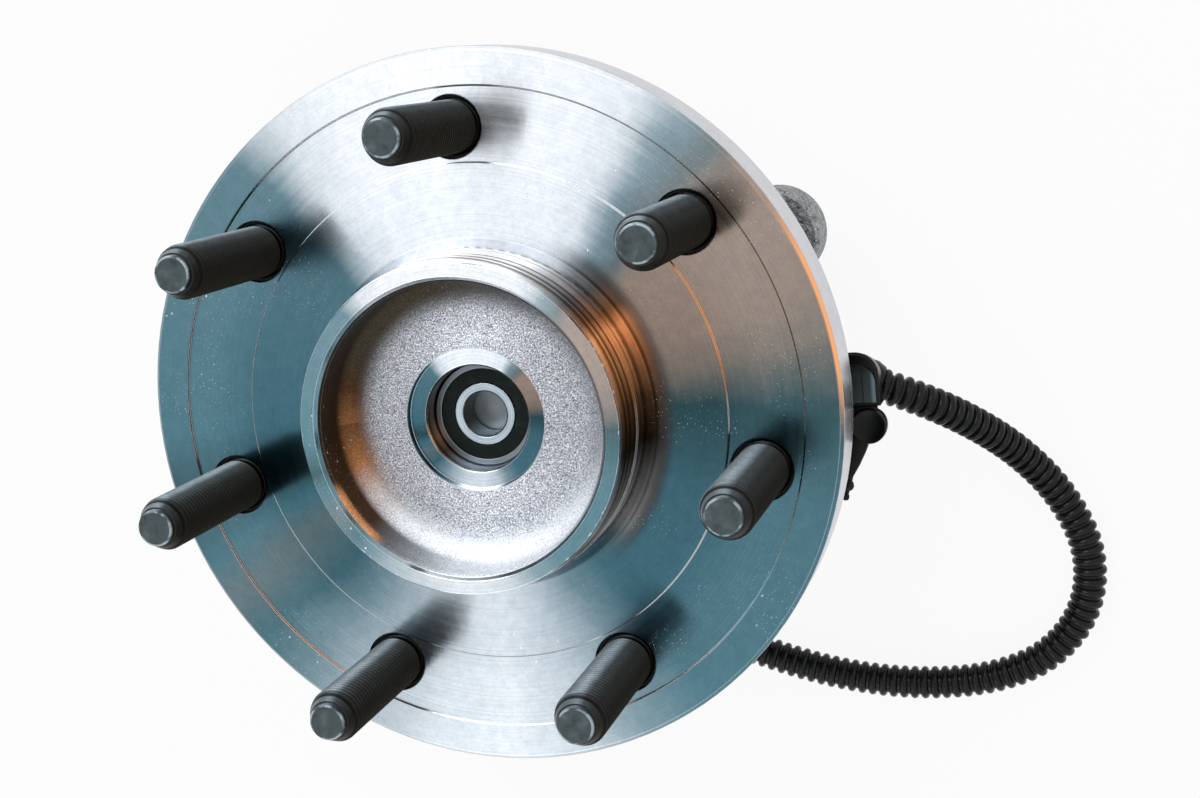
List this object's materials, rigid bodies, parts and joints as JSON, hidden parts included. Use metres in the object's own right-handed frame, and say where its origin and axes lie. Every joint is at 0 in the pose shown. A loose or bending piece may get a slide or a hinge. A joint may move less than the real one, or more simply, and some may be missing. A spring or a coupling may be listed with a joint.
{
  "type": "wheel hub bearing",
  "caption": "Wheel hub bearing unit: a studded flange turning in a bolt-on ring on tapered rollers, with a speed sensor and its ribbed lead.",
  "frame": {"origin": "centre of the face that bolts to the knuckle, on the spin axis", "axes": "+Z along the spin axis towards the wheel, +Y through the first wheel stud, +X along the speed sensor"},
  "size_m": [0.2487, 0.1994, 0.125],
  "materials": {
    "machined_steel": "fine turned steel with light wear",
    "ring_steel": "rough forged steel, shot blasted, oiled",
    "bearing_steel": "ground bearing steel",
    "sintered_steel": "dull sintered steel",
    "seal_steel": "thin zinc-coated sheet steel",
    "seal_rubber": "smooth black nitrile rubber",
    "cage_nylon": "moulded glass-filled nylon",
    "plug_steel": "plain grey pressed steel",
    "stud_phosphate": "black phosphate with oiled threads",
    "sensor_plastic": "black glass-filled nylon, slightly glossy",
    "lid_plastic": "dark grey potted lid",
    "screw_steel": "zinc-plated steel",
    "conduit_plastic": "glossy black ribbed plastic",
    "connector_plastic": "black moulded plastic",
    "terminal_brass": "tinned brass",
    "connector_rubber": "orange silicone rubber",
    "lock_plastic": "grey moulded plastic"
  },
  "bodies": {
    "ring_body": {"outer_ring": "ring_steel", "outboard_seal_case": "seal_steel", "outboard_seal_lip": "seal_rubber", "inboard_seal_case": "seal_steel", "inboard_seal_lip": "seal_rubber", "sensor_tip": "seal_steel", "sensor_o_ring": "seal_rubber", "sensor_body": "sensor_plastic", "sensor_lid": "lid_plastic", "sensor_bushing": "seal_steel", "sensor_screw": "screw_steel", "harness_clip": "sensor_plastic", "conduit_collar": "sensor_plastic", "sensor_conduit": "conduit_plastic", "connector_cover": "connector_plastic", "connector_housing": "connector_plastic", "connector_terminals": "terminal_brass", "connector_seal": "connector_rubber", "connector_lock": "lock_plastic"},
    "hub_body": {"hub_flange": "machined_steel", "wheel_stud_1": "stud_phosphate", "wheel_stud_2": "stud_phosphate", "wheel_stud_3": "stud_phosphate", "wheel_stud_4": "stud_phosphate", "wheel_stud_5": "stud_phosphate", "wheel_stud_6": "stud_phosphate", "wheel_stud_7": "stud_phosphate", "inner_ring": "bearing_steel", "tone_ring": "sintered_steel", "drive_ring": "bearing_steel", "inboard_slinger": "seal_steel", "nose_outer_ring": "bearing_steel", "nose_outboard_seal": "seal_rubber", "nose_inboard_seal": "seal_rubber", "bore_plug": "plug_steel"},
    "outboard_row": {"outboard_cage": "cage_nylon", "outboard_rollers": "bearing_steel"},
    "inboard_row": {"inboard_cage": "cage_nylon", "inboard_rollers": "bearing_steel"},
    "nose_inner_body": {"nose_inner_ring": "bearing_steel"},
    "nose_cage_body": {"nose_cage": "cage_nylon", "nose_balls": "bearing_steel"}
  },
  "joints": [
    {"name": "hub_spin", "type": "hinge", "parent": "ring_body", "child": "hub_body", "pos_m": [0, 0, 0.0195], "axis": [0, 0, 1], "continuous": true},
    {"name": "outboard_row_spin", "type": "hinge", "parent": "ring_body", "child": "outboard_row", "pos_m": [0, 0, 0.03175], "axis": [0, 0, 1], "continuous": true},
    {"name": "inboard_row_spin", "type": "hinge", "parent": "ring_body", "child": "inboard_row", "pos_m": [0, 0, 0.00725], "axis": [0, 0, 1], "continuous": true},
    {"name": "nose_ring_spin", "type": "hinge", "parent": "hub_body", "child": "nose_inner_body", "pos_m": [0, 0, 0.0572], "axis": [0, 0, 1], "continuous": true},
    {"name": "nose_cage_spin", "type": "hinge", "parent": "hub_body", "child": "nose_cage_body", "pos_m": [0, 0, 0.0572], "axis": [0, 0, 1], "continuous": true}
  ],
  "couplings": [
    {"joint": "outboard_row_spin", "follows": "hub_spin", "ratio": 0.4463},
    {"joint": "inboard_row_spin", "follows": "hub_spin", "ratio": 0.4463},
    {"joint": "nose_cage_spin", "follows": "nose_ring_spin", "ratio": 0.381}
  ]
}
